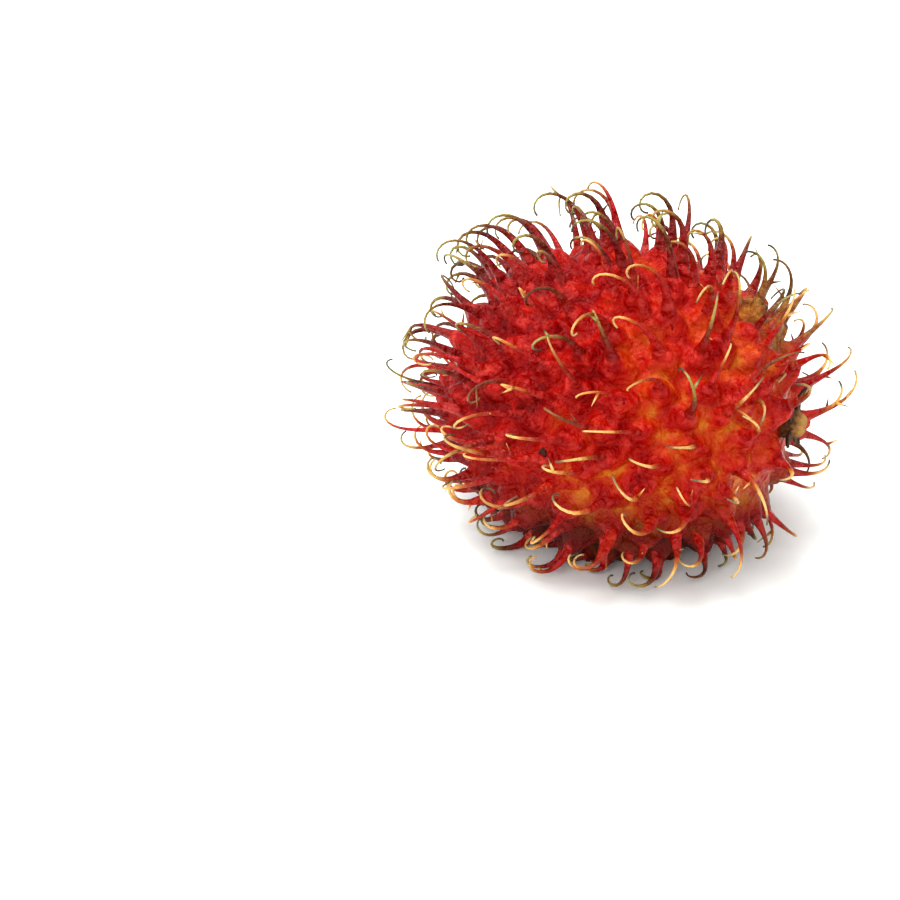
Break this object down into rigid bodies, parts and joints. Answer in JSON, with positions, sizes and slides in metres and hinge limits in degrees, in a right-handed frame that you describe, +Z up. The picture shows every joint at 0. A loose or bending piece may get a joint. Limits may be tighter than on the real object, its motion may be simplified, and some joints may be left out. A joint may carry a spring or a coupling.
{
  "type": "rambutan",
  "caption": "Whole unpeeled rambutan lying on its side, its leathery red skin covered in long soft hairs that hook over towards the tip, with a dried stalk scar at one end.",
  "frame": {"origin": "centre of the small flat spot that the fruit rests on", "axes": "+Z up from the rest spot; +X along the fruit's long axis, towards the end with the stalk scar; Y across the fruit"},
  "size_m": [0.0647, 0.0581, 0.0492],
  "materials": {
    "rind": "crimson leathery skin with a soft gloss, orange between the hairs; hairs crimson at the root and yellow-green to brown at the tip"
  },
  "bodies": {
    "root": {"rambutan": "rind"}
  },
  "joints": []
}
